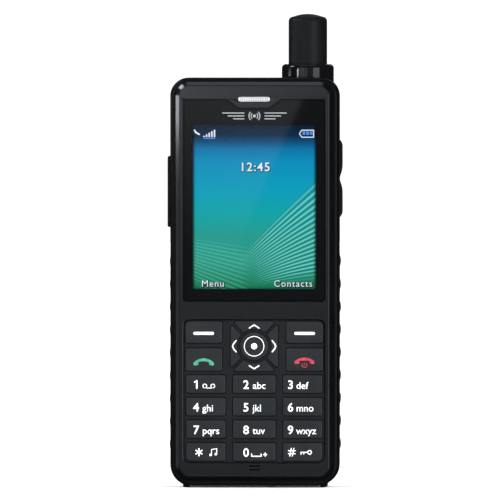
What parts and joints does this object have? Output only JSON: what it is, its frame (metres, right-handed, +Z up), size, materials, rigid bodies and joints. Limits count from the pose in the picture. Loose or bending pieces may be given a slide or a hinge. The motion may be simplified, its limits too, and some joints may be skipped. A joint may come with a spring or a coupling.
{
  "type": "satellite phone",
  "caption": "Slim rugged handheld satellite phone with a colour display, a keypad with a navigation block, ribbed side grips and a pull-out antenna in a collar.",
  "frame": {"origin": "middle of the bounding box's bottom, on the plane that the feet stand on", "axes": "+X to the right across the face, the face looks along -Y, +Z up along the antenna"},
  "size_m": [0.057, 0.027, 0.1545],
  "materials": {
    "housing": "fine textured moulding",
    "frame": "satin moulding",
    "face": "satin lacquer",
    "lens": "polished, black printed border",
    "display": "lit display",
    "keycap": "satin, printed legends",
    "rubber": "matt elastomer",
    "grille": "perforated strip",
    "antenna": "matt sleeve",
    "collar": "polished",
    "steel": "bare",
    "contact": "gold plated",
    "board": "solder mask",
    "inner_plastic": "moulded",
    "battery": "pack with a plain label",
    "ceramic": "antenna core",
    "card": "plain card",
    "screw": "dark plated"
  },
  "bodies": {
    "root": {"front_frame": "frame", "face_plate": "face", "lens": "lens", "lcd_panel": "display", "lcd_frame": "steel", "earpiece_grille": "grille", "earpiece_receiver": "inner_plastic", "microphone": "steel", "keypad_mat": "rubber", "dome_board": "board", "key_domes": "steel", "main_board": "board", "shield_cans": "steel", "rear_housing": "housing", "housing_seal": "rubber", "side_grip_left": "rubber", "side_grip_right": "rubber", "base_feet": "rubber", "antenna_collar": "collar", "antenna_seal": "rubber", "antenna_guide": "inner_plastic", "antenna_contact": "contact", "usb_socket": "steel", "headset_socket": "inner_plastic", "volume_switches": "steel", "battery_contacts": "contact", "sim_holder": "steel", "loudspeaker": "inner_plastic", "vibration_motor": "steel", "housing_screws": "screw"},
    "antenna": {"antenna_tube": "antenna", "antenna_core": "ceramic"},
    "soft_key_left": {"soft_key_left": "keycap"},
    "soft_key_right": {"soft_key_right": "keycap"},
    "call_key": {"call_key": "keycap"},
    "end_key": {"end_key": "keycap"},
    "nav_up": {"nav_up": "keycap"},
    "nav_down": {"nav_down": "keycap"},
    "nav_left": {"nav_left": "keycap"},
    "nav_right": {"nav_right": "keycap"},
    "select_key": {"select_key": "keycap"},
    "key_1": {"key_1": "keycap"},
    "key_2": {"key_2": "keycap"},
    "key_3": {"key_3": "keycap"},
    "key_4": {"key_4": "keycap"},
    "key_5": {"key_5": "keycap"},
    "key_6": {"key_6": "keycap"},
    "key_7": {"key_7": "keycap"},
    "key_8": {"key_8": "keycap"},
    "key_9": {"key_9": "keycap"},
    "key_star": {"key_star": "keycap"},
    "key_0": {"key_0": "keycap"},
    "key_hash": {"key_hash": "keycap"},
    "volume_rocker": {"volume_rocker": "rubber"},
    "port_cover": {"port_cover": "rubber"},
    "battery": {"battery_pack": "battery"},
    "battery_door": {"battery_door": "housing", "door_screws": "screw"},
    "sim_card": {"sim_card": "card"},
    "vibration_weight": {"vibration_weight": "steel"}
  },
  "joints": [
    {"name": "antenna_slide", "type": "slide", "parent": "root", "child": "antenna", "axis": [0, 0, 1], "range_m": [-0.0139, 0]},
    {"name": "soft_key_left_press", "type": "slide", "parent": "root", "child": "soft_key_left", "axis": [0, 1, 0], "range_m": [0, 0.0004], "stiffness_N_per_m": 1500, "springref_m": -0.0002},
    {"name": "soft_key_right_press", "type": "slide", "parent": "root", "child": "soft_key_right", "axis": [0, 1, 0], "range_m": [0, 0.0004], "stiffness_N_per_m": 1500, "springref_m": -0.0002},
    {"name": "call_key_press", "type": "slide", "parent": "root", "child": "call_key", "axis": [0, 1, 0], "range_m": [0, 0.0004], "stiffness_N_per_m": 1500, "springref_m": -0.0002},
    {"name": "end_key_press", "type": "slide", "parent": "root", "child": "end_key", "axis": [0, 1, 0], "range_m": [0, 0.0004], "stiffness_N_per_m": 1500, "springref_m": -0.0002},
    {"name": "nav_up_press", "type": "slide", "parent": "root", "child": "nav_up", "axis": [0, 1, 0], "range_m": [0, 0.0004], "stiffness_N_per_m": 1500, "springref_m": -0.0002},
    {"name": "nav_down_press", "type": "slide", "parent": "root", "child": "nav_down", "axis": [0, 1, 0], "range_m": [0, 0.0004], "stiffness_N_per_m": 1500, "springref_m": -0.0002},
    {"name": "nav_left_press", "type": "slide", "parent": "root", "child": "nav_left", "axis": [0, 1, 0], "range_m": [0, 0.0004], "stiffness_N_per_m": 1500, "springref_m": -0.0002},
    {"name": "nav_right_press", "type": "slide", "parent": "root", "child": "nav_right", "axis": [0, 1, 0], "range_m": [0, 0.0004], "stiffness_N_per_m": 1500, "springref_m": -0.0002},
    {"name": "select_key_press", "type": "slide", "parent": "root", "child": "select_key", "axis": [0, 1, 0], "range_m": [0, 0.0004], "stiffness_N_per_m": 1500, "springref_m": -0.0002},
    {"name": "key_1_press", "type": "slide", "parent": "root", "child": "key_1", "axis": [0, 1, 0], "range_m": [0, 0.0004], "stiffness_N_per_m": 1500, "springref_m": -0.0002},
    {"name": "key_2_press", "type": "slide", "parent": "root", "child": "key_2", "axis": [0, 1, 0], "range_m": [0, 0.0004], "stiffness_N_per_m": 1500, "springref_m": -0.0002},
    {"name": "key_3_press", "type": "slide", "parent": "root", "child": "key_3", "axis": [0, 1, 0], "range_m": [0, 0.0004], "stiffness_N_per_m": 1500, "springref_m": -0.0002},
    {"name": "key_4_press", "type": "slide", "parent": "root", "child": "key_4", "axis": [0, 1, 0], "range_m": [0, 0.0004], "stiffness_N_per_m": 1500, "springref_m": -0.0002},
    {"name": "key_5_press", "type": "slide", "parent": "root", "child": "key_5", "axis": [0, 1, 0], "range_m": [0, 0.0004], "stiffness_N_per_m": 1500, "springref_m": -0.0002},
    {"name": "key_6_press", "type": "slide", "parent": "root", "child": "key_6", "axis": [0, 1, 0], "range_m": [0, 0.0004], "stiffness_N_per_m": 1500, "springref_m": -0.0002},
    {"name": "key_7_press", "type": "slide", "parent": "root", "child": "key_7", "axis": [0, 1, 0], "range_m": [0, 0.0004], "stiffness_N_per_m": 1500, "springref_m": -0.0002},
    {"name": "key_8_press", "type": "slide", "parent": "root", "child": "key_8", "axis": [0, 1, 0], "range_m": [0, 0.0004], "stiffness_N_per_m": 1500, "springref_m": -0.0002},
    {"name": "key_9_press", "type": "slide", "parent": "root", "child": "key_9", "axis": [0, 1, 0], "range_m": [0, 0.0004], "stiffness_N_per_m": 1500, "springref_m": -0.0002},
    {"name": "key_star_press", "type": "slide", "parent": "root", "child": "key_star", "axis": [0, 1, 0], "range_m": [0, 0.0004], "stiffness_N_per_m": 1500, "springref_m": -0.0002},
    {"name": "key_0_press", "type": "slide", "parent": "root", "child": "key_0", "axis": [0, 1, 0], "range_m": [0, 0.0004], "stiffness_N_per_m": 1500, "springref_m": -0.0002},
    {"name": "key_hash_press", "type": "slide", "parent": "root", "child": "key_hash", "axis": [0, 1, 0], "range_m": [0, 0.0004], "stiffness_N_per_m": 1500, "springref_m": -0.0002},
    {"name": "volume_rock", "type": "hinge", "parent": "root", "child": "volume_rocker", "pos_m": [0.0246, 0, 0.10075], "axis": [0, 1, 0], "range_deg": [-2.5, 2.5], "stiffness_Nm_per_rad": 0.4},
    {"name": "port_cover_hinge", "type": "hinge", "parent": "root", "child": "port_cover", "pos_m": [-0.0276, 0.003, 0.0965], "axis": [0, 0, -1], "range_deg": [0, 110]},
    {"name": "battery_lift", "type": "slide", "parent": "root", "child": "battery", "axis": [0, 1, 0], "range_m": [0, 0.025]},
    {"name": "battery_door_lift", "type": "slide", "parent": "battery", "child": "battery_door", "axis": [0, 1, 0], "range_m": [0, 0.03]},
    {"name": "sim_slide", "type": "slide", "parent": "root", "child": "sim_card", "axis": [0, 0, -1], "range_m": [0, 0.012]},
    {"name": "vibration_spin", "type": "hinge", "parent": "root", "child": "vibration_weight", "pos_m": [-0.01, -0.002, 0.1175], "axis": [1, 0, 0], "continuous": true}
  ]
}
